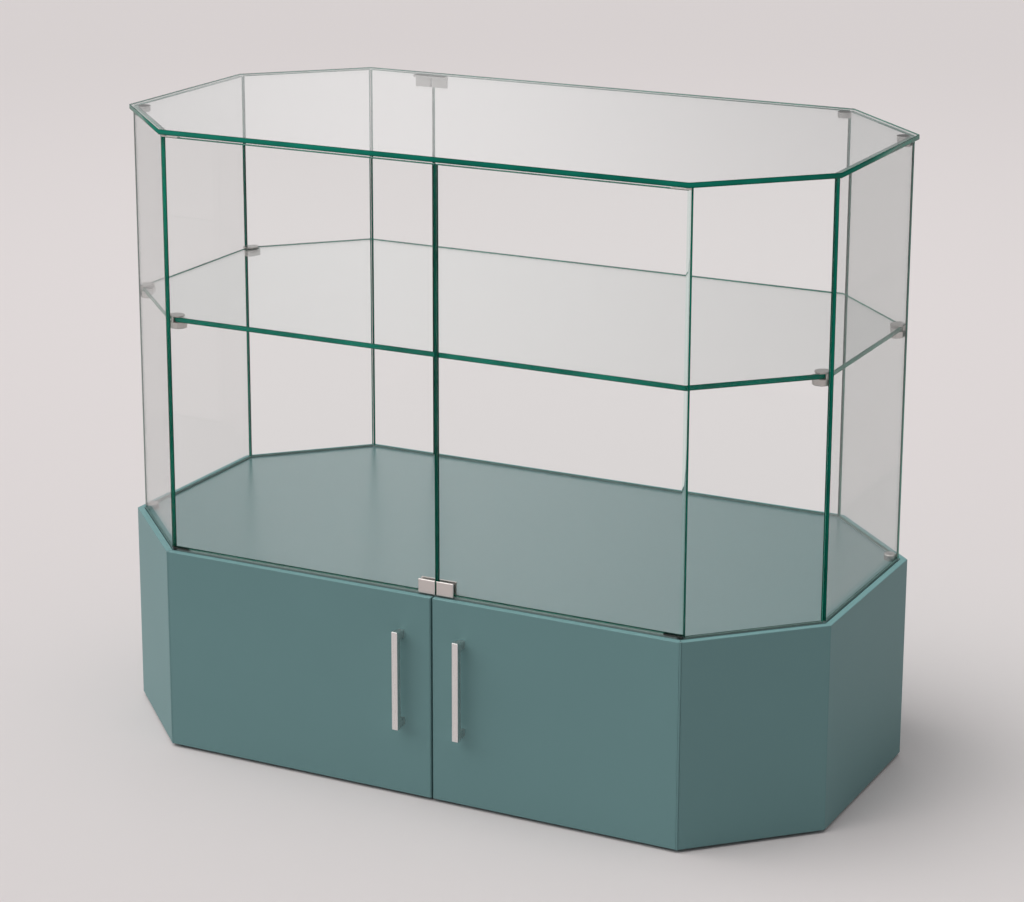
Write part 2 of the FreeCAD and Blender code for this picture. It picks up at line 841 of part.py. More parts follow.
def rear_top_clip(side_sign):
    """Plate on a rear pane beside the rear seam, with a flange under the top plate."""
    x_near = rear_seam_x() + side_sign * rear_clip_seam_gap
    x_far = x_near + side_sign * rear_clip_width
    x_low, x_high = min(x_near, x_far), max(x_near, x_far)
    y_back = half_depth - glass_inner - clip_bond
    y_front = y_back - rear_clip_thickness
    plate = box(x_low, x_high, y_front, y_back, plate_bottom - rear_clip_height, plate_bottom)
    flange = box(x_low, x_high, y_back - rear_clip_flange, y_back,
                 plate_bottom - rear_clip_flange_height, plate_bottom)
    return fused([plate, flange])


# Nodes

def build():
    """Every node of the case, as a list of solids by name."""
    shell = base_shell()
    hinge_corners = {"left": left_hinge_corner, "right": right_hinge_corner}
    signs = {"left": -1, "right": 1}
    doors = dict(zip(hinge_corners, cabinet_doors(shell)))
    nodes = {
        "bottom_board": [bottom_board()],
        "deck_board": [deck_board()],
        "front_rail": [front_rail()],
        "carcass_dowels": dowels(dowel_diameter),
        "glides": glides(),
        "cabinet_catch": [cabinet_catch()],
        "top_glass": [top_glass()],
        "shelf_glass": [shelf_glass()],
        "setting_strips": setting_strips(),
        "deck_bushes": [deck_bush(corner) for corner in hinge_corners.values()],
        "top_pivot_cups": [top_cup(corner) for corner in hinge_corners.values()],
        "glass_catch": [glass_catch()],
        "shelf_bracket_bodies": [bracket_body(corner) for corner in bracket_corners],
        "shelf_bracket_caps": [bracket_cap(corner) for corner in bracket_corners],
        "shelf_bracket_screws": [bracket_screw(corner) for corner in bracket_corners],
        "corner_clips": corner_clips(),
        "rear_top_clips": [rear_top_clip(sign) for sign in signs.values()],
        "hinge_fixed_screws": [],
    }
    for name, panel in fixed_panels(shell).items():
        nodes[name] = [panel]
    for name, pane in fixed_panes().items():
        nodes[name] = [pane]
    for hand, corner in hinge_corners.items():
        toward = door_toward(corner)
        sign = signs[hand]
        nodes["hinge_fixed_screws"] += hinge_screws(corner, -toward)
        nodes[hand + "_hinge_fixed_leaf"] = [hinge_leaf(corner, -toward, 0)]
        nodes[hand + "_hinge_door_leaf"] = [hinge_leaf(corner, toward, 1)]
        nodes[hand + "_hinge_door_screws"] = hinge_screws(corner, toward)
        nodes[hand + "_hinge_pin"] = [hinge_pin(corner)]
        nodes[hand + "_cabinet_door"] = [doors[hand]]
        nodes[hand + "_handle"] = [handle(sign)]
        nodes[hand + "_handle_screws"] = handle_screws(sign)
        nodes[hand + "_strike_plate"] = [strike_plate(sign)]
        nodes[hand + "_glass_door"] = [glass_door(corner)]
        nodes[hand + "_door_bottom_pivot"] = [bottom_pivot(corner)]
        nodes[hand + "_door_top_pivot"] = [top_pivot(corner)]
        nodes[hand + "_door_patch"] = [door_patch(sign)]
        nodes[hand + "_patch_screw"] = [patch_screw(sign)]
    return nodes


def write(nodes):
    """Write each node to its own file."""
    os.makedirs("parts", exist_ok=True)
    for name, shapes in sorted(nodes.items()):
        solids = [solid for shape in shapes for solid in shape.Solids]
        shape = solids[0] if len(solids) == 1 else Part.makeCompound(solids)
        shape.exportStep("parts/" + name + ".step")
        print(name, len(solids), round(shape.Volume, 1), shape.isValid())


write(build())
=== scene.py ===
import json
import math

import bmesh
import bpy
import numpy as np
from bpy.props import FloatProperty, FloatVectorProperty, PointerProperty
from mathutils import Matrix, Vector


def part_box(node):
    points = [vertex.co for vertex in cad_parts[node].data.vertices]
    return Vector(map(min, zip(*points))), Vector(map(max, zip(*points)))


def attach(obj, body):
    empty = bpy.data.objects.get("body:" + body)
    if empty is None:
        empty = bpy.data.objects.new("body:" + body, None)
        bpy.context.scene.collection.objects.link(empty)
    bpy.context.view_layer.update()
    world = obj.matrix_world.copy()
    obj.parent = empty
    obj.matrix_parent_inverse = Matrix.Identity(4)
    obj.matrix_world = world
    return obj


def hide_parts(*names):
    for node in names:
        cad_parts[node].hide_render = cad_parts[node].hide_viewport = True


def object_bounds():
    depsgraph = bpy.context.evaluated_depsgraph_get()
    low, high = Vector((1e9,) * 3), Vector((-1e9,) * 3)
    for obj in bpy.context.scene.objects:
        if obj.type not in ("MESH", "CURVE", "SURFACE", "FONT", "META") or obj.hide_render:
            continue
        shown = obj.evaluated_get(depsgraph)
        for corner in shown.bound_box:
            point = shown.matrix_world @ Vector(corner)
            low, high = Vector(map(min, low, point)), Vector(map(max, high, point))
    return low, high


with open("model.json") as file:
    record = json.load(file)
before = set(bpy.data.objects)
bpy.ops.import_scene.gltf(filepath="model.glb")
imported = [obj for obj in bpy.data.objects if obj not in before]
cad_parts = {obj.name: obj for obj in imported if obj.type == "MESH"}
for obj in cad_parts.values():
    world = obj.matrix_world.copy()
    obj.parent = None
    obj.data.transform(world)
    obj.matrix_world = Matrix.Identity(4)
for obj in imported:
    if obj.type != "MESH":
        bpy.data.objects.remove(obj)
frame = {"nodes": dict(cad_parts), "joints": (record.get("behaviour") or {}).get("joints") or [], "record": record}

bl_info = {
    "name": "Octagonal display case",
    "version": (1, 0, 0),
    "blender": (4, 5, 0),
    "location": "3D View > Sidebar > Display Case",
    "description": "Finishes, stage and camera for an octagonal glass display case on a painted base",
    "category": "Object",
}

CAD_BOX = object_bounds()
IMAGE_WIDTH = 1024

# What the frame gives: the slot and body of each node, and the pivot of each moving body
NODES = frame["nodes"]
RECORD = frame["record"]
SLOT_OF = {part["node"]: part["material_slot"] for part in RECORD["subparts"]}
BODY_OF = {node: body for body, nodes in RECORD["behaviour"]["bodies"].items() for node in nodes}
PIVOTS = {joint["child"]: np.array(joint["pos_m"]) for joint in frame["joints"]}
HALF_WIDTH = CAD_BOX[1][0]
HALF_DEPTH = CAD_BOX[1][1]

# Sides of the plan, going round from the front; a corner has the number of the side that starts there
SIDES = 8
FRONT, FRONT_RIGHT, RIGHT, REAR_RIGHT, REAR, REAR_LEFT, LEFT, FRONT_LEFT = range(SIDES)
HALF_TURN = math.pi / SIDES
BRACKET_CORNERS = (FRONT, RIGHT, REAR_RIGHT, LEFT, FRONT_LEFT)
PANE_SIDES = {
    "front_right_corner_glass": FRONT_RIGHT,
    "right_side_glass": RIGHT,
    "rear_right_corner_glass": REAR_RIGHT,
    "rear_glass_left": REAR,
    "rear_glass_right": REAR,
    "rear_left_corner_glass": REAR_LEFT,
    "left_side_glass": LEFT,
    "front_left_corner_glass": FRONT_LEFT,
}

# Ends of an upright pane, counting its edges from the foot, and the material slot that an edge takes
FAR_END = 1
NEAR_END = 3
PLAIN_EDGE = 1
FINE_EDGE = 2
FINE_ENDS = {"front_left_corner_glass": FAR_END}

# Glass meshes: name of the map, steps of a round edge, decimals of a depth, and the least sharp angle
EDGE_MAP = "edge"
ROUND_EDGE_STEPS = 16
DEPTH_DIGITS = 7
SHARP_ANGLE = math.radians(25)

# Greens over the thickness of an edge, from the outer face to the inner one: place and strength.
# Darker borders are painted shade and a lighter core a painted highlight, brightest in the bright greens;
# the deepening greens grow darker towards the inner face as painted shade
EVEN_GREENS = ((0.06, 0.55), (0.25, 1.0), (0.75, 1.0), (0.94, 0.55))
BRIGHT_GREENS = ((0.06, 0.5), (0.30, 1.45), (0.70, 1.45), (0.94, 0.5))
DEEPENING_GREENS = ((0.05, 0.5), (0.20, 0.95), (0.80, 0.22), (0.95, 0.25))
ROUND_CORE = (0.40, 0.60)
CORE_BLUR = 0.02
WAVE_SCALE = 14.0
WAVE_LOW = 0.75
WAVE_HIGH = 1.2
EDGE_ROUGHNESS = 0.16
EDGE_GLOSS = 0.06

# Ranges that a blend is spread over: the middle of a noise, faces that look up, and a slanting view
NOISE_RANGE = (0.3, 0.7)
UPWARD_RANGE = (0.3, 0.9)
SLANT_RANGE = (0.30, 0.55)
FULL_RANGE = (0.0, 1.0)

# Mottle and grain of the finishes, as scales of a noise, with the grain's depths in metres
UNSTRETCHED = (1.0, 1.0, 1.0)
BRUSHED_UPWARDS = (1.0, 1.0, 0.02)
MOTTLE_SCALE = 7.0
MOTTLE_DETAIL = 3.0
ROUGHNESS_SPREAD = 0.05
PAINT_GRAIN = 1400.0
PAINT_DEPTH = 0.00002
DECK_DEPTH = 0.00001
# The deck's paint is the base's paint darkened, as painted shade under the glass
DECK_PAINTED_SHADE = 0.72
METAL_DEPTH = 0.00001
NICKEL_GRAIN = 3000.0
STEEL_GRAIN = 2600.0
ZINC_GRAIN = 900.0
ZINC_COLOUR = (0.50, 0.51, 0.52)

HINGE_LEAVES = [
    hand + "_hinge_" + leaf + "_leaf"
    for hand in ("left", "right")
    for leaf in ("fixed", "door")
]
# Fittings in the patches' satin nickel made darker as painted shade, the pivot shoes darkest as the shade at the
# glass's foot: brightness, roughness and nodes
SHADED_NICKEL = {
    "dull_nickel": (0.58, 0.40, ("corner_clips", "rear_top_clips")),
    "clamp_nickel": (0.82, 0.34, ("shelf_bracket_bodies",)),
    "shoe_nickel": (0.16, 0.42, ("left_door_bottom_pivot", "right_door_bottom_pivot")),
    "cap_nickel": (0.66, 0.30, ("shelf_bracket_caps",)),
}
# Finishes of the small parts, by their material slot
SMALL_FINISHES = {
    "dark_plastic": dict(colour=(0.02, 0.02, 0.02), roughness=0.5, grain=1800.0, depth=0.00003),
    "dark_strip": dict(colour=(0.20, 0.245, 0.24), roughness=0.6, grain=1200.0, depth=0.00003),
    "beech": dict(colour=(0.45, 0.28, 0.15), roughness=0.6, grain=300.0, depth=0.00005, spread_by=0.15),
}

# Stage: a floor in metres with a painted pool of light, a soft far lamp, the light of the sky, and what glass and
# metal show
FLOOR_REACH = 30.0
FLOOR_POINTS = 9
FLOOR_ROUGHNESS = 0.7
FLOOR_GRAIN = 300.0
FLOOR_DEPTH = 0.00002
PAINTED_POOL_BRIGHTNESS = 1.10
LAMP_TOWARDS = (-0.56, -0.34, 0.755)
LAMP_STRENGTH = 1.85
LAMP_SPREAD = math.radians(68)
LAMP_COLOUR = (1.0, 0.99, 0.98)
SKY_LOW = (0.05, 0.05, 0.05)
SKY_HIGH = (0.80, 0.80, 0.80)
PANEL_LIGHT = (0.86, 0.85, 0.85)
ROOM_LIGHT = (0.46, 0.46, 0.46)
LIGHT_BOUNCES = 64
TRANSPARENT_BOUNCES = 48

# Settings that like properties share
COLOUR = {"subtype": "COLOR", "size": 3, "min": 0.0, "max": 1.0}
SHARE = {"subtype": "FACTOR", "min": 0.0, "max": 1.0}
TURN = {"subtype": "ANGLE", "unit": "ROTATION"}


class CaseSizes(bpy.types.PropertyGroup):
    """Sizes of the glass, in metres."""
    corner_cut: FloatProperty(
        name="Corner cut", description="How much the plan's corners are cut off along each side",
        unit="LENGTH", default=0.165)
    glass_inset: FloatProperty(
        name="Glass inset", description="From the base's outer face to the outer face of the glass",
        unit="LENGTH", default=0.0115)
    bond_gap: FloatProperty(
        name="Bond gap", description="Gap in a bonded mitre", unit="LENGTH", default=0.0003)
    pivot_end_gap: FloatProperty(
        name="Pivot gap", description="From a glass door's round edge to the pane beside it",
        unit="LENGTH", default=0.0007)
    arris: FloatProperty(
        name="Arris", description="Width taken off the edges of a loose pane",
        unit="LENGTH", default=0.0008)
    fine_arris: FloatProperty(
        name="Fine arris", description="Width taken off the edges of a bonded pane",
        unit="LENGTH", default=0.0003)
    shelf_corner_cut: FloatProperty(
        name="Shelf corner", description="How far the shelf's corners are cut off in the clamps",
        unit="LENGTH", default=0.006)


class CaseFinish(bpy.types.PropertyGroup):
    """Colours and finishes of the case."""
    paint_colour: FloatVectorProperty(
        name="Paint", description="Satin paint of the base", default=(0.146, 0.263, 0.268), **COLOUR)
    paint_roughness: FloatProperty(
        name="Paint roughness", description="How dull the satin paint is", default=0.36, **SHARE)
    deck_roughness: FloatProperty(
        name="Deck roughness", description="How dull the paint of the deck is", default=0.28, **SHARE)
    glass_colour: FloatVectorProperty(
        name="Glass", description="Colour that a face of the glass lets through",
        default=(0.985, 0.995, 0.993), **COLOUR)
    glass_index: FloatProperty(
        name="Glass index", description="How strongly the glass bends and mirrors light",
        min=1.0, max=2.0, default=1.18)
    slant_colour: FloatVectorProperty(
        name="Slanting glass", description="Colour that a wall pane lets through at a slant",
        default=(0.78, 0.80, 0.795), **COLOUR)
    shelf_colour: FloatVectorProperty(
        name="Shelf glass", description="Colour that the shelf lets through at a slant",
        default=(0.89, 0.905, 0.90), **COLOUR)
    edge_colour: FloatVectorProperty(
        name="Glass edge", description="Emerald green of a polished edge",
        default=(0.004, 0.185, 0.125), **COLOUR)
    edge_tint: FloatVectorProperty(
        name="Edge tint", description="Green that a rounded edge lets through",
        default=(0.72, 0.88, 0.84), **COLOUR)
    nickel_colour: FloatVectorProperty(
        name="Nickel", description="Satin nickel of the clips and patches",
        default=(0.64, 0.60, 0.575), **COLOUR)
    steel_colour: FloatVectorProperty(
        name="Steel", description="Brushed steel of the handles", default=(0.76, 0.735, 0.72), **COLOUR)


class CaseStage(bpy.types.PropertyGroup):
    """Floor, light and camera."""
    floor_colour: FloatVectorProperty(
        name="Floor", description="Pale floor", default=(0.69, 0.645, 0.645), **COLOUR)
    # The pool is light painted into the floor's colour, brightest at its middle
    pool_centre: FloatVectorProperty(
        name="Pool", description="Middle of the brighter floor behind the case",
        subtype="TRANSLATION", unit="LENGTH", size=2, default=(-1.4, 2.7))
    pool_reach: FloatProperty(
        name="Pool reach", description="How far the brighter floor reaches", unit="LENGTH", default=4.5)
    panel_azimuth: FloatProperty(
        name="Panel", description="Turn of the soft light panel behind the case",
        default=math.radians(29.3), **TURN)
    panel_width: FloatProperty(
        name="Panel width", description="Half width of the soft light panel, as a sine", default=0.19)
    camera_azimuth: FloatProperty(
        name="Azimuth", description="Turn of the camera round the case",
        default=math.radians(27.404), **TURN)
    camera_elevation: FloatProperty(
        name="Elevation", description="How far the camera looks down",
        default=math.radians(14.866), **TURN)
    camera_place: FloatVectorProperty(
        name="Place", description="Where the camera stands",
        subtype="TRANSLATION", unit="LENGTH", size=3, default=(1.9616, -3.8899, 1.7831))
    camera_focal: FloatProperty(
        name="Focal length", description="Focal length in pixels of the picture",
        subtype="PIXEL", default=2890.5)
    camera_shift: FloatVectorProperty(
        name="Shift", description="Shift of the lens across and up, in picture widths",
        size=2, default=(0.03, -0.10))


# Material nodes

def new_material(name):
    """Empty node material, with its node tree and its output node."""
    material = bpy.data.materials.new(name)
    material.use_nodes = True
    tree = material.node_tree
    tree.nodes.clear()
    return material, tree, tree.nodes.new("ShaderNodeOutputMaterial")


def add(tree, kind, values=None, **settings):
    """Add a node, set its own settings and the plain values of its sockets."""
    node = tree.nodes.new(kind)
    for key, value in settings.items():
        setattr(node, key, value)
    for key, value in (values or {}).items():
        node.inputs[key].default_value = value
    return node


def link(tree, source, output, target, socket):
    """Join an output to an input."""
    tree.links.new(source.outputs[output], target.inputs[socket])


def noise_on_object(tree, scale, detail=2.0, stretch=UNSTRETCHED):
    """Noise on Object coordinates, stretched along the axes."""
    coordinates = add(tree, "ShaderNodeTexCoord")
    mapping = add(tree, "ShaderNodeMapping", {"Scale": stretch})
    noise = add(tree, "ShaderNodeTexNoise", {"Scale": scale, "Detail": detail})
    link(tree, coordinates, "Object", mapping, "Vector")
    link(tree, mapping, "Vector", noise, "Vector")
    return noise


def spread(tree, source, output, span, low=0.0, high=1.0, interpolation="LINEAR"):
    """Map a span of an output to low..high."""
    values = {"From Min": span[0], "From Max": span[1], "To Min": low, "To Max": high}
    node = add(tree, "ShaderNodeMapRange", values, interpolation_type=interpolation)
    link(tree, source, output, node, "Value")
    return node


def tinted(tree, source, output, first, second):
    """Blend from a first to a second colour by an output."""
    node = add(tree, "ShaderNodeMix", data_type="RGBA")
    node.inputs["A"].default_value = (*first, 1.0)
    node.inputs["B"].default_value = (*second, 1.0)
    link(tree, source, output, node, "Factor")
    return node


def shade(colour, factor):
    """A colour made lighter or darker."""
    return tuple(channel * factor for channel in colour)


def painted_light_on_top(tree, colours, pale):
    """Blend to a paler colour where a surface faces up: painted light on the tops of rims and other upward faces.
    """
    surface = add(tree, "ShaderNodeNewGeometry")
    split = add(tree, "ShaderNodeSeparateXYZ")
    link(tree, surface, "Normal", split, "Vector")
    upward = spread(tree, split, "Z", UPWARD_RANGE)
    node = add(tree, "ShaderNodeMix", data_type="RGBA")
    node.inputs["B"].default_value = (*pale, 1.0)
    link(tree, upward, "Result", node, "Factor")
    link(tree, colours, "Result", node, "A")
    return node


def raise_grain(tree, noise, depth, shader):
    """Give a shader a bump from a noise, as deep as the depth."""
    bump = add(tree, "ShaderNodeBump", {"Strength": 1.0, "Distance": depth})
    link(tree, noise, "Fac", bump, "Height")
    link(tree, bump, "Normal", shader, "Normal")


def either(tree, source, outputs):
    """The greatest of several outputs of a node."""
    best = source.outputs[outputs[0]]
    for name in outputs[1:]:
        greater = add(tree, "ShaderNodeMath", operation="MAXIMUM")
        tree.links.new(best, greater.inputs[0])
        tree.links.new(source.outputs[name], greater.inputs[1])
        best = greater.outputs["Value"]
    return best


def lets_light_through(tree, output, shader, socket, colour):
    """Join a shader to the output, with light on its way to other surfaces passing straight through."""
    clear = add(tree, "ShaderNodeBsdfTransparent", {"Color": (*colour, 1)})
    path = add(tree, "ShaderNodeLightPath")
    mix = add(tree, "ShaderNodeMixShader")
    tree.links.new(either(tree, path, ("Is Shadow Ray", "Is Diffuse Ray")), mix.inputs["Fac"])
    tree.links.new(shader.outputs[socket], mix.inputs[1])
    tree.links.new(clear.outputs["BSDF"], mix.inputs[2])
    link(tree, mix, "Shader", output, "Surface")


# Paint, metal, plastic and floor

def finish_material(name, colour, roughness, grain, depth, metallic=0.0, stretch=UNSTRETCHED,
                    spread_by=0.06, gloss=0.5, top_light=1.0, coat=0.0):
    """Principled surface with a mottled colour, an uneven roughness and a fine grain as bump.

    Faces that look up can be painted paler, as light on top, and a coat of clear varnish, as dull as the surface,
    can lie over it.
    """
    material, tree, output = new_material(name)
    shader = add(tree, "ShaderNodeBsdfPrincipled", {
        "Metallic": metallic, "Specular IOR Level": gloss,
        "Coat Weight": coat, "Coat Roughness": roughness})
    mottle = noise_on_object(tree, MOTTLE_SCALE, MOTTLE_DETAIL)
    colours = tinted(tree, mottle, "Fac", shade(colour, 1 - spread_by), shade(colour, 1 + spread_by))
    if top_light != 1.0:
        colours = painted_light_on_top(tree, colours, shade(colour, top_light))
    link(tree, colours, "Result", shader, "Base Color")
    fine = noise_on_object(tree, grain, stretch=stretch)
    least = roughness - ROUGHNESS_SPREAD
    most = roughness + ROUGHNESS_SPREAD
    rough = spread(tree, fine, "Fac", NOISE_RANGE, least, most)
    link(tree, rough, "Result", shader, "Roughness")
    raise_grain(tree, fine, depth, shader)
    link(tree, shader, "BSDF", output, "Surface")
    return material


def metal_material(name, colour, roughness, grain=NICKEL_GRAIN, stretch=UNSTRETCHED):
    """Bare metal with a very fine grain."""
    return finish_material(name, colour, roughness, grain, METAL_DEPTH, metallic=1.0, stretch=stretch)


def floor_material(name, colour, centre, reach):
    """Dull pale floor with a fine grain, and a painted pool of light that makes it a tenth brighter in the middle
    of a soft round patch.
    """
    material, tree, output = new_material(name)
    shader = add(tree, "ShaderNodeBsdfPrincipled", {"Roughness": FLOOR_ROUGHNESS})
    coordinates = add(tree, "ShaderNodeTexCoord")
    mapping = add(tree, "ShaderNodeMapping", {
        "Location": (-centre[0] / reach, -centre[1] / reach, 0.0),
        "Scale": (1 / reach, 1 / reach, 1 / reach)})
    link(tree, coordinates, "Object", mapping, "Vector")
    ball = add(tree, "ShaderNodeTexGradient", gradient_type="SPHERICAL")
    link(tree, mapping, "Vector", ball, "Vector")
    soft = spread(tree, ball, "Fac", FULL_RANGE, interpolation="SMOOTHSTEP")
    pool = tinted(tree, soft, "Result", colour, shade(colour, PAINTED_POOL_BRIGHTNESS))
    link(tree, pool, "Result", shader, "Base Color")
    grain = noise_on_object(tree, FLOOR_GRAIN)
    raise_grain(tree, grain, FLOOR_DEPTH, shader)
    link(tree, shader, "BSDF", output, "Surface")
    return material


def dress(node, material):
    """Give a CAD node's object a material in all its slots."""
    for slot in NODES[node].material_slots:
        slot.material = material


def nodes_with_slot(slot):
    """Nodes that the record gives a material slot."""
    return [node for node, name in SLOT_OF.items() if name == slot]


# Glass materials

def glass_material(name, colour, index, slant_colour=None):
    """Clear smooth glass, which can take another colour where it is looked through at a slant."""
    material, tree, output = new_material(name)
    shader = add(tree, "ShaderNodeBsdfPrincipled", {
        "Base Color": (*colour, 1), "Roughness": 0.0, "Transmission Weight": 1.0, "IOR": index})
    if slant_colour is not None:
        facing = add(tree, "ShaderNodeLayerWeight")
        slant = spread(tree, facing, "Facing", SLANT_RANGE)
        tint = tinted(tree, slant, "Result", colour, slant_colour)
        link(tree, tint, "Result", shader, "Base Color")
    lets_light_through(tree, output, shader, "BSDF", colour)
    return material


def across_edge(tree, stops):
    """Colour ramp over the thickness of the glass, from a rising list of places and colours."""
    across = add(tree, "ShaderNodeUVMap", uv_map=EDGE_MAP)
    split = add(tree, "ShaderNodeSeparateXYZ")
    link(tree, across, "UV", split, "Vector")
    ramp = add(tree, "ShaderNodeValToRGB")
    for place, _ in stops[1:-1]:
        ramp.color_ramp.elements.new(place)
    for element, (place, colour) in zip(ramp.color_ramp.elements, stops):
        element.position = place
        element.color = (*colour, 1)
    link(tree, split, "Y", ramp, "Fac")
    return ramp


def beside_core(tree, core):
    """One beside a core in the thickness of the glass and nought in it, with a short blur between."""
    white = (1, 1, 1)
    black = (0, 0, 0)
    start, end = core
    stops = [(start - CORE_BLUR, white), (start, black), (end, black), (end + CORE_BLUR, white)]
    return across_edge(tree, stops)


def edge_material(name, green, strengths, tint, index, core=None):
    """Glass edge: greens over the thickness, with painted shade and highlight, in soft waves, and clear beside its
    core if that is given.
    """
    material, tree, output = new_material(name)
    greens = across_edge(tree, [(place, shade(green, strength)) for place, strength in strengths])
    wave = spread(tree, noise_on_object(tree, WAVE_SCALE), "Fac", NOISE_RANGE, WAVE_LOW, WAVE_HIGH)
    waved = add(tree, "ShaderNodeMix", data_type="RGBA", blend_type="MULTIPLY")
    waved.inputs["Factor"].default_value = 1.0
    link(tree, greens, "Color", waved, "A")
    link(tree, wave, "Result", waved, "B")
    solid = add(tree, "ShaderNodeBsdfPrincipled", {
        "Roughness": EDGE_ROUGHNESS, "Specular IOR Level": EDGE_GLOSS})
    link(tree, waved, "Result", solid, "Base Color")
    if core is None:
        lets_light_through(tree, output, solid, "BSDF", tint)
        return material
    clear = add(tree, "ShaderNodeBsdfPrincipled", {
        "Base Color": (*tint, 1), "Roughness": 0.0, "Transmission Weight": 1.0, "IOR": index})
    both = add(tree, "ShaderNodeMixShader")
    link(tree, beside_core(tree, core), "Color", both, "Fac")
    tree.links.new(solid.outputs["BSDF"], both.inputs[1])
    tree.links.new(clear.outputs["BSDF"], both.inputs[2])
    lets_light_through(tree, output, both, "Shader", tint)
    return material


def glass_materials(finish):
    """The glass of the walls, of the level plates and of their edges, made once and kept by name."""
    if "wall_glass" not in bpy.data.materials:
        clear = tuple(finish.glass_colour)
        green = tuple(finish.edge_colour)
        tint = tuple(finish.edge_tint)
        index = finish.glass_index
        glass_material("wall_glass", clear, index, tuple(finish.slant_colour))
        glass_material("plate_glass", clear, index)
        glass_material("shelf_glass", clear, index, tuple(finish.shelf_colour))
        edge_material("plate_edge", green, EVEN_GREENS, tint, index)
        edge_material("upright_edge", green, BRIGHT_GREENS, tint, index)
        edge_material("pane_edge", green, DEEPENING_GREENS, tint, index)
        edge_material("round_edge", green, DEEPENING_GREENS, tint, index, ROUND_CORE)
    return bpy.data.materials


# Glass shapes

def glass_thickness():
    """Thickness of the glass, from the top plate."""
    low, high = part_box("top_glass")
    return high[2] - low[2]


def plan_octagon(inset, cut):
    """Plan corners (8, 2): the outline with cut corners, moved in by inset along each side's normal."""
    x_far = HALF_WIDTH - inset
    y_far = HALF_DEPTH - inset
    diagonal = HALF_WIDTH + HALF_DEPTH - cut - inset * math.sqrt(2)
    x_near = diagonal - y_far
    y_near = diagonal - x_far
    corners = [(-x_near, -y_far), (x_near, -y_far), (x_far, -y_near), (x_far, y_near),
               (x_near, y_far), (-x_near, y_far), (-x_far, y_near), (-x_far, -y_near)]
    return np.array(corners)


def side_along(side, cut):
    """Unit vector along a side of the plan."""
    corners = plan_octagon(0.0, cut)
    way = corners[(side + 1) % SIDES] - corners[side]
    return way / np.linalg.norm(way)


def moved_in(ring, amount):
    """A convex plan ring (N, 2) moved in: each corner goes along the mitre of its two sides' normals."""
    ahead = np.roll(ring, -1, axis=0) - ring
    ahead /= np.linalg.norm(ahead, axis=1, keepdims=True)
    normal = np.stack([-ahead[:, 1], ahead[:, 0]], axis=1)
    before = np.roll(normal, 1, axis=0)
    mitre = (normal + before) / (1.0 + np.sum(normal * before, axis=1, keepdims=True))
    return ring + mitre * amount


def arris_at(depths, thickness, arris):
    """How far an edge is taken off at each depth: a slope of 45 degrees at both faces, else nothing."""
    return np.clip(arris - np.minimum(depths, thickness - depths), 0.0, None)


def depth_steps(thickness, arris, steps=0):
    """Depths through a pane: both faces, both arrises and, for a round edge, turns of a half circle."""
    turns = thickness / 2 * (1.0 - np.cos(np.linspace(0.0, math.pi, steps + 1)))
    depths = np.concatenate([[0.0, arris, thickness - arris, thickness], turns])
    return np.unique(np.round(depths, DEPTH_DIGITS))


def edge_map(rings, across):
    """Map of a slab's face corners: length round the ring by share of the thickness.

    The sides come first, ring by ring, and then the two closing faces.
    """
    levels, count = rings.shape[:2]
    length = np.linalg.norm(np.roll(rings[0], -1, axis=0) - rings[0], axis=1)
    stop = np.cumsum(length)
    start = stop - length
    along = np.stack([start, stop, stop, start], axis=-1)
    along = np.broadcast_to(along, (levels - 1, count, 4))
    through = np.stack([across[:-1], across[:-1], across[1:], across[1:]], axis=-1)
    through = np.broadcast_to(through[:, None, :], (levels - 1, count, 4))
    sides = np.stack([along, through], axis=-1).reshape(-1, 2)
    first = np.stack([start[::-1], np.zeros(count)], axis=-1)
    last = np.stack([start, np.ones(count)], axis=-1)
    return np.concatenate([sides, first, last])


def tidy_normals(mesh):
    """Turn all faces outwards, and shade round stretches smooth between sharp edges."""
    shape = bmesh.new()
    shape.from_mesh(mesh)
    bmesh.ops.recalc_face_normals(shape, faces=shape.faces)
    shape.to_mesh(mesh)
    shape.free()
    mesh.shade_smooth()
    mesh.set_sharp_from_angle(angle=SHARP_ANGLE)


def stacked_mesh(name, rings, across, materials, kinds):
    """Closed slab from a stack of rings (L, N, 3).

    The sides join ring to ring and take their materials by kinds (N). The first and last ring are closed
    by a face each, in the first material, and shaded flat, so that a round edge doesn't bend what shows
    through them.
    """
    levels, count = rings.shape[:2]
    index = np.arange(levels * count).reshape(levels, count)
    after = np.roll(index, -1, axis=1)
    sides = np.stack([index[:-1], after[:-1], after[1:], index[1:]], axis=-1).reshape(-1, 4)
    faces = sides.tolist() + [index[0, ::-1].tolist(), index[-1].tolist()]
    mesh = bpy.data.meshes.new(name)
    mesh.from_pydata(rings.reshape(-1, 3).tolist(), [], faces)
    mesh.uv_layers.new(name=EDGE_MAP).data.foreach_set("uv", edge_map(rings, across).ravel())
    for material in materials:
        mesh.materials.append(material)
    mesh.polygons.foreach_set("material_index", np.concatenate([np.tile(kinds, levels - 1), [0, 0]]))
    tidy_normals(mesh)
    mesh.polygons.foreach_set("use_smooth", np.arange(len(faces)) < len(sides))
    return mesh


def place_piece(name, mesh, node):
    """Show a mesh instead of a CAD node, riding on the node's body."""
    piece = bpy.data.objects.new(name, mesh)
    bpy.context.scene.collection.objects.link(piece)
    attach(piece, BODY_OF[node])
    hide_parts(node)


def edge_kinds(fine_end=None):
    """Material slots of an upright pane's four edges: plain, apart from a fine end if one is given."""
    kinds = np.full(4, PLAIN_EDGE)
    if fine_end is not None:
        kinds[fine_end] = FINE_EDGE
    return kinds


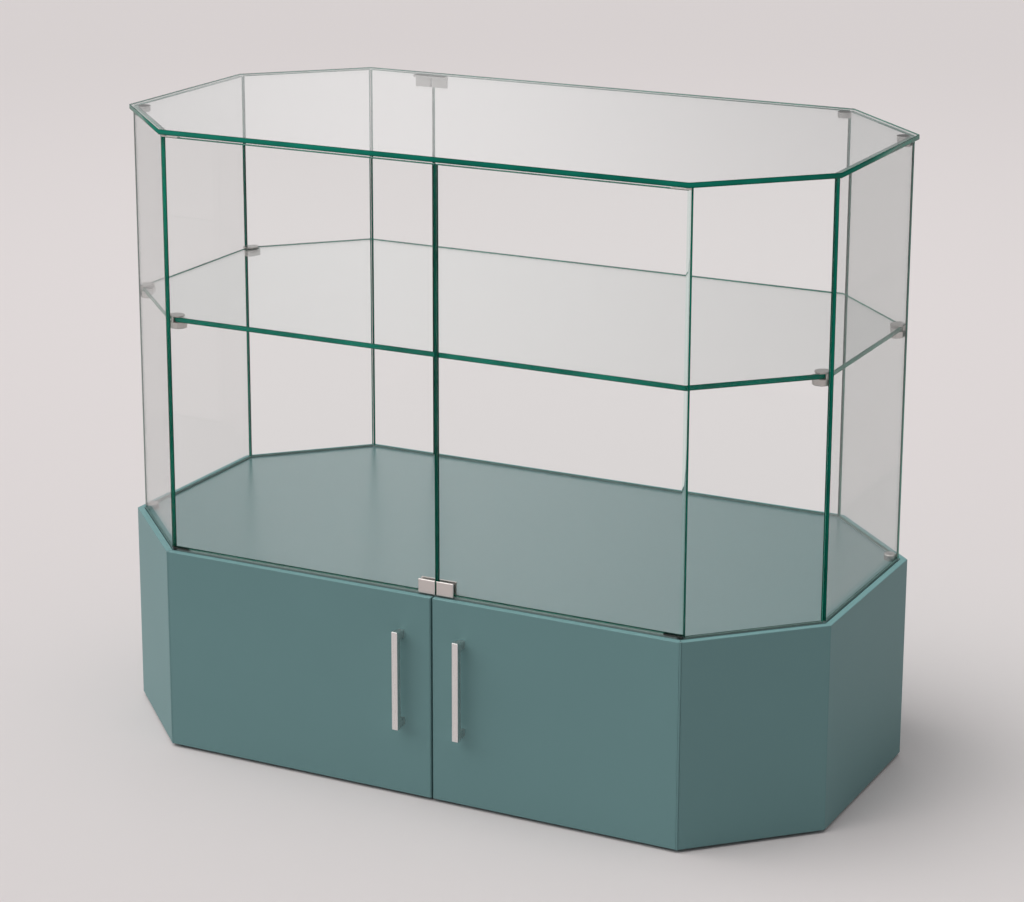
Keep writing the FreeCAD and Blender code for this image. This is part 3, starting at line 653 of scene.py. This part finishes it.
def upright_rings(starts, ends, low, high, trim):
    """Rings (L, 4, 3) of an upright pane: plan lines from starts to ends (L, 2), between two heights."""
    ways = (ends - starts) / np.linalg.norm(ends - starts, axis=1, keepdims=True)
    starts = starts + ways * trim[:, None]
    ends = ends - ways * trim[:, None]
    rings = np.zeros((len(starts), 4, 3))
    rings[:, 0, :2] = rings[:, 3, :2] = starts
    rings[:, 1, :2] = rings[:, 2, :2] = ends
    rings[:, :2, 2] = (low + trim)[:, None]
    rings[:, 2:, 2] = (high - trim)[:, None]
    return rings


def square_end(points, ahead, mark, distance):
    """Move points (L, 2) along a wall until they lie square at a distance past a mark."""
    short = (mark[:2] - points) @ ahead + distance
    return points + short[:, None] * ahead


def fixed_pane_rings(node, sizes, thickness, depths):
    """Pane along a side of the plan, with square ends at inner corners, a pivot or the rear seam."""
    side = PANE_SIDES[node]
    low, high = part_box(node)
    ahead = side_along(side, sizes.corner_cut)
    corners = np.stack([plan_octagon(sizes.glass_inset + depth, sizes.corner_cut) for depth in depths])
    first = corners[:, side]
    last = corners[:, (side + 1) % SIDES]
    held_back = sizes.bond_gap / 2 / math.cos(HALF_TURN)
    past_pivot = thickness / 2 + sizes.pivot_end_gap
    starts = square_end(first, ahead, first[-1], held_back)
    ends = square_end(last, ahead, last[-1], -held_back)
    if side == FRONT_RIGHT:
        starts = square_end(first, ahead, PIVOTS["right_glass_leaf"], past_pivot)
    if side == FRONT_LEFT:
        ends = square_end(last, ahead, PIVOTS["left_glass_leaf"], -past_pivot)
    if node == "rear_glass_left":
        starts[:, 0] = high[0]
    if node == "rear_glass_right":
        ends[:, 0] = low[0]
    return upright_rings(starts, ends, low[2], high[2], arris_at(depths, thickness, sizes.fine_arris))


def glass_door_rings(node, sizes, thickness, depths):
    """Door pane with its edge kinds: one end is half round, past the pivot by a half circle's chord."""
    low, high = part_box(node)
    pivot = PIVOTS[BODY_OF[node]]
    radius = thickness / 2
    chord = np.sqrt(np.clip(radius ** 2 - (depths - radius) ** 2, 0.0, None))
    trim = arris_at(depths, thickness, sizes.arris)
    lines = np.zeros((2, len(depths), 2))
    lines[:, :, 1] = low[1] + depths
    if pivot[0] < (low[0] + high[0]) / 2:
        round_end = NEAR_END
        lines[0, :, 0] = pivot[0] - chord
        lines[1, :, 0] = high[0]
    else:
        round_end = FAR_END
        lines[0, :, 0] = low[0]
        lines[1, :, 0] = pivot[0] + chord
    return upright_rings(lines[0], lines[1], low[2], high[2], trim), edge_kinds(round_end)


def plate_rings(outline, low, depths, trim):
    """Level plate: a plan outline (N, 2) at each height, moved in by the arris."""
    rings = np.zeros((len(depths), len(outline), 3))
    rings[:, :, :2] = np.stack([moved_in(outline, amount) for amount in trim])
    rings[:, :, 2] = (low + depths)[:, None]
    return rings


def shelf_outline(inset, sizes, glass_inner):
    """Shelf's plan: the octagon, with two points a short way along the sides at each cut corner."""
    corners = plan_octagon(inset, sizes.corner_cut)
    reach = sizes.shelf_corner_cut - (inset - glass_inner) / math.cos(HALF_TURN)
    step = reach / math.sin(HALF_TURN)
    ahead = np.roll(corners, -1, axis=0) - corners
    ahead /= np.linalg.norm(ahead, axis=1, keepdims=True)
    is_cut = np.isin(np.arange(SIDES), BRACKET_CORNERS)
    back = corners - np.roll(ahead, 1, axis=0) * step * is_cut[:, None]
    forth = corners + ahead * step
    both = np.stack([back, forth], axis=1).reshape(-1, 2)
    return both[np.stack([np.ones(SIDES, dtype=bool), is_cut], axis=1).ravel()]


# Floor, light and camera

def floor_mesh(reach, count):
    """Flat square grid of count by count points: x and y run evenly from -reach to reach, z is zero."""
    line = np.linspace(-reach, reach, count)
    x, y = np.meshgrid(line, line, indexing="ij")
    points = np.stack([x, y, np.zeros_like(x)], axis=-1).reshape(-1, 3)
    index = np.arange(count * count).reshape(count, count)
    squares = [index[:-1, :-1], index[1:, :-1], index[1:, 1:], index[:-1, 1:]]
    faces = np.stack(squares, axis=-1).reshape(-1, 4)
    mesh = bpy.data.meshes.new("floor")
    mesh.from_pydata(points.tolist(), [], faces.tolist())
    return mesh


def lay_floor(scene, stage):
    """Pale floor with a soft painted pool of light behind the case."""
    floor = bpy.data.objects.new("floor", floor_mesh(FLOOR_REACH, FLOOR_POINTS))
    scene.collection.objects.link(floor)
    colour = tuple(stage.floor_colour)
    floor.data.materials.append(floor_material("pale_floor", colour, stage.pool_centre, stage.pool_reach))


def light_world(scene, stage):
    """Soft sky that is brighter overhead, while metal and glass show a pale room with a soft panel.

    The panel is an upright stripe, and its light falls off with the sine of the angle from its middle.
    """
    world = bpy.data.worlds.new("studio")
    scene.world = world
    world.use_nodes = True
    tree = world.node_tree
    tree.nodes.clear()
    output = add(tree, "ShaderNodeOutputWorld")
    coordinates = add(tree, "ShaderNodeTexCoord")
    split = add(tree, "ShaderNodeSeparateXYZ")
    link(tree, coordinates, "Generated", split, "Vector")
    height = spread(tree, split, "Z", FULL_RANGE)
    across = add(tree, "ShaderNodeVectorMath", operation="DOT_PRODUCT")
    across.inputs[1].default_value = (math.cos(stage.panel_azimuth), math.sin(stage.panel_azimuth), 0.0)
    link(tree, coordinates, "Generated", across, 0)
    off_middle = add(tree, "ShaderNodeMath", operation="ABSOLUTE")
    link(tree, across, "Value", off_middle, 0)
    panel = spread(tree, off_middle, "Value", (0.0, stage.panel_width), interpolation="SMOOTHSTEP")
    skies = []
    for factor, start, end in ((height, SKY_LOW, SKY_HIGH), (panel, PANEL_LIGHT, ROOM_LIGHT)):
        blend = tinted(tree, factor, "Result", start, end)
        sky = add(tree, "ShaderNodeBackground")
        link(tree, blend, "Result", sky, "Color")
        skies.append(sky)
    path = add(tree, "ShaderNodeLightPath")
    mix = add(tree, "ShaderNodeMixShader")
    seen = either(tree, path, ("Is Camera Ray", "Is Glossy Ray", "Is Transmission Ray"))
    tree.links.new(seen, mix.inputs["Fac"])
    tree.links.new(skies[0].outputs[0], mix.inputs[1])
    tree.links.new(skies[1].outputs[0], mix.inputs[2])
    tree.links.new(mix.outputs[0], output.inputs["Surface"])


def hang_lamp(scene, name, towards):
    """Soft far lamp that shines from a direction, as wide in the sky as its spread."""
    lamp = bpy.data.lights.new(name, "SUN")
    lamp.energy = LAMP_STRENGTH
    lamp.angle = LAMP_SPREAD
    lamp.color = LAMP_COLOUR
    thing = bpy.data.objects.new(name, lamp)
    turn = math.atan2(towards[1], towards[0]) + math.pi / 2
    tilt = math.atan2(math.hypot(towards[0], towards[1]), towards[2])
    thing.rotation_euler = (tilt, 0.0, turn)
    scene.collection.objects.link(thing)


def place_camera(scene, stage):
    """Camera at the photo's viewing angle, level from side to side, with its focal length in pixels."""
    camera = bpy.data.cameras.new("photo")
    camera.sensor_fit = "HORIZONTAL"
    camera.lens = stage.camera_focal / IMAGE_WIDTH * camera.sensor_width
    camera.shift_x, camera.shift_y = stage.camera_shift
    thing = bpy.data.objects.new("photo", camera)
    thing.location = stage.camera_place
    thing.rotation_euler = (math.pi / 2 - stage.camera_elevation, 0.0, stage.camera_azimuth)
    scene.collection.objects.link(thing)
    scene.camera = thing


# Operators

class CASE_OT_paint_base(bpy.types.Operator):
    """Paint the panels, boards and doors of the base"""
    bl_idname = "case.paint_base"
    bl_label = "Paint base"

    def execute(self, context):
        finish = context.scene.case_finish
        colour = tuple(finish.paint_colour)
        # The paint is made paler on faces that look up, as painted light on top of the rims
        paint = finish_material(
            "satin_paint", colour, finish.paint_roughness, PAINT_GRAIN, PAINT_DEPTH,
            spread_by=0.03, gloss=0.06, top_light=1.25)
        for node in nodes_with_slot("satin_paint") + HINGE_LEAVES:
            dress(node, paint)
        # The deck takes the base's paint, darker as painted shade under the glass, under a clear coat
        deck_paint = finish_material(
            "deck_paint", shade(colour, DECK_PAINTED_SHADE), finish.deck_roughness, PAINT_GRAIN, DECK_DEPTH,
            spread_by=0.03, coat=0.6)
        dress("deck_board", deck_paint)
        return {"FINISHED"}


class CASE_OT_glaze_walls(bpy.types.Operator):
    """Set the fixed panes of the glass case"""
    bl_idname = "case.glaze_walls"
    bl_label = "Wall panes"

    def execute(self, context):
        sizes = context.scene.case_sizes
        glass = glass_materials(context.scene.case_finish)
        materials = [glass["wall_glass"], glass["pane_edge"], glass["upright_edge"]]
        thickness = glass_thickness()
        depths = depth_steps(thickness, sizes.fine_arris)
        for node in PANE_SIDES:
            rings = fixed_pane_rings(node, sizes, thickness, depths)
            kinds = edge_kinds(FINE_ENDS.get(node))
            mesh = stacked_mesh(node + "_pane", rings, depths / thickness, materials, kinds)
            place_piece(node + "_pane", mesh, node)
        return {"FINISHED"}


class CASE_OT_hang_glass_doors(bpy.types.Operator):
    """Hang the two glass doors"""
    bl_idname = "case.hang_glass_doors"
    bl_label = "Glass doors"

    def execute(self, context):
        sizes = context.scene.case_sizes
        glass = glass_materials(context.scene.case_finish)
        materials = [glass["wall_glass"], glass["pane_edge"], glass["round_edge"]]
        thickness = glass_thickness()
        depths = depth_steps(thickness, sizes.arris, ROUND_EDGE_STEPS)
        for node in ("left_glass_door", "right_glass_door"):
            rings, kinds = glass_door_rings(node, sizes, thickness, depths)
            mesh = stacked_mesh(node + "_pane", rings, depths / thickness, materials, kinds)
            place_piece(node + "_pane", mesh, node)
        return {"FINISHED"}


class CASE_OT_lay_plates(bpy.types.Operator):
    """Lay the shelf and the top plate"""
    bl_idname = "case.lay_plates"
    bl_label = "Shelf and top plate"

    def execute(self, context):
        sizes = context.scene.case_sizes
        glass = glass_materials(context.scene.case_finish)
        faces = {"top_glass": glass["plate_glass"], "shelf_glass": glass["shelf_glass"]}
        thickness = glass_thickness()
        depths = depth_steps(thickness, sizes.arris)
        trim = arris_at(depths, thickness, sizes.arris)
        for node, face in faces.items():
            low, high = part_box(node)
            inset = HALF_WIDTH - high[0]
            outline = plan_octagon(inset, sizes.corner_cut)
            if node == "shelf_glass":
                outline = shelf_outline(inset, sizes, sizes.glass_inset + thickness)
            rings = plate_rings(outline, low[2], depths, trim)
            kinds = np.full(len(outline), PLAIN_EDGE)
            materials = [face, glass["plate_edge"]]
            mesh = stacked_mesh(node + "_plate", rings, depths / thickness, materials, kinds)
            place_piece(node + "_plate", mesh, node)
        return {"FINISHED"}


class CASE_OT_fit_metal(bpy.types.Operator):
    """Finish the clips, patches, handles and hinge pins"""
    bl_idname = "case.fit_metal"
    bl_label = "Metal fittings"

    def execute(self, context):
        finish = context.scene.case_finish
        nickel = tuple(finish.nickel_colour)
        steel = tuple(finish.steel_colour)
        by_slot = {
            "satin_nickel": metal_material("satin_nickel", nickel, roughness=0.34),
            "brushed_steel": metal_material(
                "brushed_steel", steel, roughness=0.30, grain=STEEL_GRAIN, stretch=BRUSHED_UPWARDS),
            "zinc_steel": metal_material("zinc_steel", ZINC_COLOUR, roughness=0.38, grain=ZINC_GRAIN),
        }
        for slot, material in by_slot.items():
            for node in nodes_with_slot(slot):
                if node not in HINGE_LEAVES:
                    dress(node, material)
        # Darker copies of the satin nickel, as painted shade, for the clips, clamps, caps and pivot shoes
        for name, (brightness, roughness, nodes) in SHADED_NICKEL.items():
            material = metal_material(name, shade(nickel, brightness), roughness)
            for node in nodes:
                dress(node, material)
        return {"FINISHED"}


class CASE_OT_fit_small_parts(bpy.types.Operator):
    """Finish the glides, catches, strips and dowels"""
    bl_idname = "case.fit_small_parts"
    bl_label = "Small parts"

    def execute(self, context):
        for slot, finish in SMALL_FINISHES.items():
            material = finish_material(slot, **finish)
            for node in nodes_with_slot(slot):
                dress(node, material)
        return {"FINISHED"}


class CASE_OT_set_stage(bpy.types.Operator):
    """Lay the floor, hang the lights and place the camera"""
    bl_idname = "case.set_stage"
    bl_label = "Stage"

    def execute(self, context):
        scene = context.scene
        stage = scene.case_stage
        scene.view_settings.view_transform = "Standard"
        scene.cycles.max_bounces = LIGHT_BOUNCES
        scene.cycles.transmission_bounces = LIGHT_BOUNCES
        scene.cycles.glossy_bounces = LIGHT_BOUNCES
        scene.cycles.transparent_max_bounces = TRANSPARENT_BOUNCES
        scene.cycles.blur_glossy = 0.0
        lay_floor(scene, stage)
        light_world(scene, stage)
        hang_lamp(scene, "key", LAMP_TOWARDS)
        place_camera(scene, stage)
        return {"FINISHED"}


class CASE_PT_sidebar(bpy.types.Panel):
    """Lists the steps that finish the case"""
    bl_idname = "CASE_PT_sidebar"
    bl_label = "Display Case"
    bl_space_type = "VIEW_3D"
    bl_region_type = "UI"
    bl_category = "Display Case"

    def draw(self, context):
        for operator in OPERATORS:
            self.layout.operator(operator.bl_idname)


OPERATORS = (
    CASE_OT_paint_base,
    CASE_OT_glaze_walls,
    CASE_OT_hang_glass_doors,
    CASE_OT_lay_plates,
    CASE_OT_fit_metal,
    CASE_OT_fit_small_parts,
    CASE_OT_set_stage,
)
CLASSES = (CaseSizes, CaseFinish, CaseStage, *OPERATORS, CASE_PT_sidebar)


def register():
    """Register the classes and hang the property groups on the scene."""
    for entry in CLASSES:
        bpy.utils.register_class(entry)
    bpy.types.Scene.case_sizes = PointerProperty(type=CaseSizes)
    bpy.types.Scene.case_finish = PointerProperty(type=CaseFinish)
    bpy.types.Scene.case_stage = PointerProperty(type=CaseStage)


def unregister():
    """Take the property groups off the scene and unregister the classes."""
    del bpy.types.Scene.case_stage
    del bpy.types.Scene.case_finish
    del bpy.types.Scene.case_sizes
    for entry in reversed(CLASSES):
        bpy.utils.unregister_class(entry)


def main():
    """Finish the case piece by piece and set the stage."""
    register()
    bpy.ops.case.paint_base()
    bpy.ops.case.glaze_walls()
    bpy.ops.case.hang_glass_doors()
    bpy.ops.case.lay_plates()
    bpy.ops.case.fit_metal()
    bpy.ops.case.fit_small_parts()
    bpy.ops.case.set_stage()


if __name__ == "__main__":
    main()
